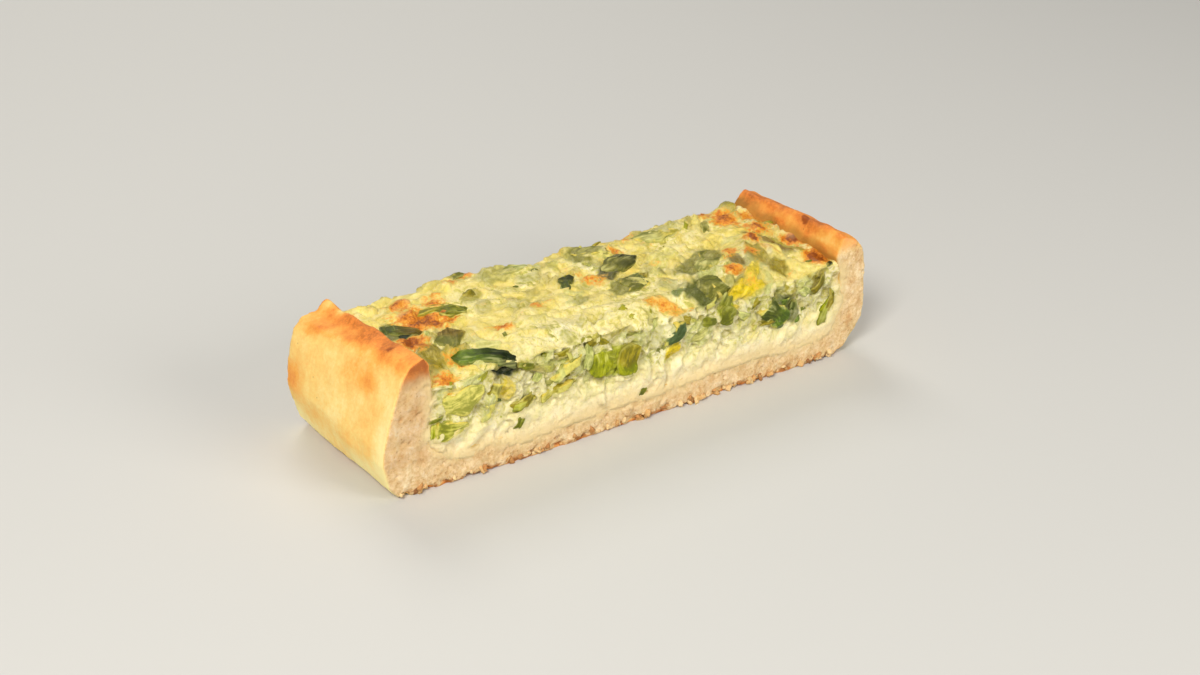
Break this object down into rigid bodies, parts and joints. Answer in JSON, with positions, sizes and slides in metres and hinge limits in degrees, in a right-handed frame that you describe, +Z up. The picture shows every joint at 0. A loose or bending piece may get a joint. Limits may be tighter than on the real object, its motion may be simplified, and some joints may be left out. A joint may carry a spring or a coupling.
{
  "type": "leek quiche slice",
  "caption": "Bar-shaped slice of leek quiche: pastry floor folded up at both ends, savoury custard filling with leek, browned top.",
  "frame": {"origin": "middle of the slice's box, on the surface that it rests on", "axes": "+X along the slice, -Y towards the front cut face, +Z up"},
  "size_m": [0.127, 0.0368, 0.0301],
  "materials": {
    "crust": "baked shortcrust pastry, matt, browned along the crests",
    "filling": "set egg and cream custard, moist at the cuts, baked skin on top",
    "leek_dark": "dark green leek leaf, moist",
    "leek_green": "mid green leek leaf, moist",
    "leek_lime": "yellow-green leek stem, moist",
    "leek_pale": "pale leek stem, moist"
  },
  "bodies": {
    "root": {"crust": "crust", "filling": "filling", "leek_top_slab_right": "leek_dark", "leek_top_slab_pale": "leek_green", "leek_top_fold": "leek_dark", "leek_top_slab_middle": "leek_dark", "leek_top_blade": "leek_green", "leek_top_triangle": "leek_dark", "leek_top_by_rim": "leek_dark", "leek_top_back_strip": "leek_dark", "leek_top_back_middle": "leek_green", "leek_top_back_right": "leek_pale", "leek_top_knot": "leek_dark", "leek_edge_leaf": "leek_green", "leek_cut_pale_slab": "leek_pale", "leek_cut_upright": "leek_pale", "leek_cut_low_left": "leek_lime", "leek_cut_olive_curve": "leek_green", "leek_cut_fan": "leek_green", "leek_cut_fan_low": "leek_lime", "leek_cut_block_left": "leek_lime", "leek_cut_block_right": "leek_lime", "leek_cut_sea_green": "leek_dark", "leek_cut_lime_corner": "leek_lime", "leek_cut_leaf_right": "leek_dark", "leek_cut_crescent": "leek_lime", "leek_back_slab": "leek_lime", "leek_back_curve": "leek_green", "leek_back_dark": "leek_dark", "leek_back_crescent": "leek_lime"}
  },
  "joints": []
}
